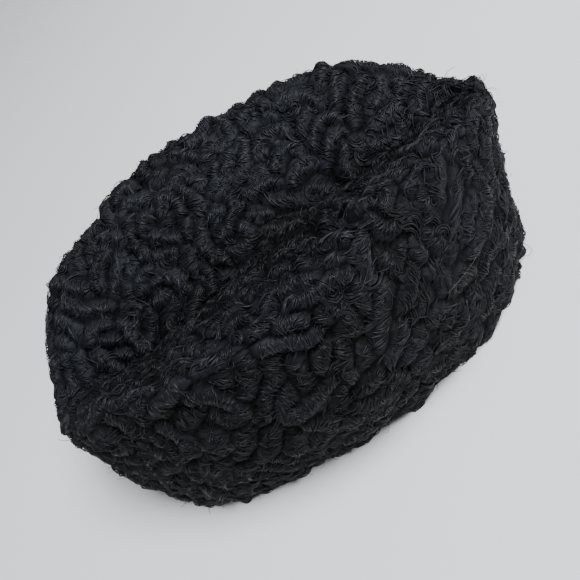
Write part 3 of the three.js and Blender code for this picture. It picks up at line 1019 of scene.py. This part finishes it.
# %% Pale hair path
PALE_HAIR_POINTS = 12
PALE_HAIR_ENDS = np.array([[0.388, 0.330], [0.512, 0.3105]])
PALE_HAIR_LIFT = 2.4 * MM
PALE_HAIR_BOW = 0.8 * MM
PALE_HAIR_HALF_WIDTH = 0.06 * MM
t = np.linspace(0, 1, PALE_HAIR_POINTS)[:, None]
hair_ends, _, _, hair_out = wall_frame(np.array([-1.0, -1.0]), PALE_HAIR_ENDS[:, 0], PALE_HAIR_ENDS[:, 1])
hair_up = hair_out[0] * (1 - t) + hair_out[1] * t
hair_clear = PALE_HAIR_LIFT + PALE_HAIR_BOW * np.sin(math.pi * t)
hair_path = hair_ends[0] * (1 - t) + hair_ends[1] * t + hair_up * hair_clear
hair_width = np.full((1, PALE_HAIR_POINTS), PALE_HAIR_HALF_WIDTH)

# %% Pieces of strands, each under 200,000 triangles
MOST_TRIANGLES = 190000
NODES = ["left_side_panel", "right_side_panel", "crown_panel"]
SHORT = ["left", "right", "crown"]
families = {
    "wisps": (wisp_path, wisp_up, wisp_width, wisp_tint, wisp_node),
    "locks": (lock_path, lock_up, lock_width, lock_tint, lock_node),
    "loose_wisps": (loose_path, loose_up, loose_width, loose_tint, loose_node),
    "stray_hairs": (stray_path, stray_up, stray_width, 0.8 + 0 * stray_width, stray_node),
}
for family, (path, up, width, tint, node) in families.items():
    for k in range(3):
        of_panel = np.flatnonzero(node == k)
        triangles = len(of_panel) * ((path.shape[1] - 1) * 6 + 2)
        for number, chosen in enumerate(np.array_split(of_panel, math.ceil(triangles / MOST_TRIANGLES))):
            name = f"{SHORT[k]}_{family}_{number + 1}"
            pieces[NODES[k]].append(strands(name, path[chosen], up[chosen], width[chosen], tint[chosen]))
pieces["right_side_panel"].append(strands(
    "pale_hair", hair_path[None], hair_up[None], hair_width, 1 + 0 * hair_width, undyed_wool,
))

# %% [markdown]
# ## Floor and light
# A plain pale floor, and soft studio light: one broad lamp high above the cap, a little in
# front of it and towards the viewer, and a dim pale surround.


# %% Floor
def pale_floor():
    """A matt off-white floor with a faint mottling."""
    material, tree = new_material("pale_floor")
    place = add_node(tree, "ShaderNodeTexCoord")
    mottle = add_node(tree, "ShaderNodeTexNoise", Vector=place.outputs["Object"], Scale=6.0, Detail=3.0)
    ramp = add_node(tree, "ShaderNodeValToRGB", Fac=mottle.outputs["Fac"])
    ramp.color_ramp.elements[0].color = linear("#f3f2ef")
    ramp.color_ramp.elements[1].color = linear("#f8f7f4")
    shader = add_node(tree, "ShaderNodeBsdfPrincipled", Base_Color=ramp.outputs["Color"], Roughness=0.8)
    add_node(tree, "ShaderNodeOutputMaterial", Surface=shader.outputs["BSDF"])
    return material


FLOOR_HALF = 3.0
corners = np.array([[-1, -1, 0], [1, -1, 0], [1, 1, 0], [-1, 1, 0]]) * FLOOR_HALF
floor = mesh_piece("floor", corners, np.array([[0, 1, 2, 3]]), pale_floor())


# %% Lamps and surround
def area_lamp(name, place, size, power, colour):
    """A square lamp that faces the middle of the cap."""
    lamp = bpy.data.lights.new(name, "AREA")
    lamp.size = size
    lamp.energy = power
    lamp.color = linear(colour)[:3]
    holder = bpy.data.objects.new(name, lamp)
    holder.location = place
    holder.rotation_euler = (Vector(TARGET) - Vector(place)).to_track_quat("-Z", "Y").to_euler()
    bpy.context.scene.collection.objects.link(holder)


area_lamp("sky_lamp", (0.6, -0.35, 1.5), 0.9, 54, "#eef1fa")
world = bpy.data.worlds.new("surround")
world.use_nodes = True
world.node_tree.nodes["Background"].inputs["Color"].default_value = linear("#e8ecf2")
world.node_tree.nodes["Background"].inputs["Strength"].default_value = 0.25
bpy.context.scene.world = world

# %% [markdown]
# ## Handing over
# Each panel's wool and pelt stand for its solid. All of them ride on the one body, because a
# cloth cap has no joint.

# %% Riding, replacing and measuring
for node, made in pieces.items():
    for piece in made:
        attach(piece, "root")
        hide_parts(node)
count = sum(len(piece.data.polygons) for made in pieces.values() for piece in made)
print("faces in all", count)
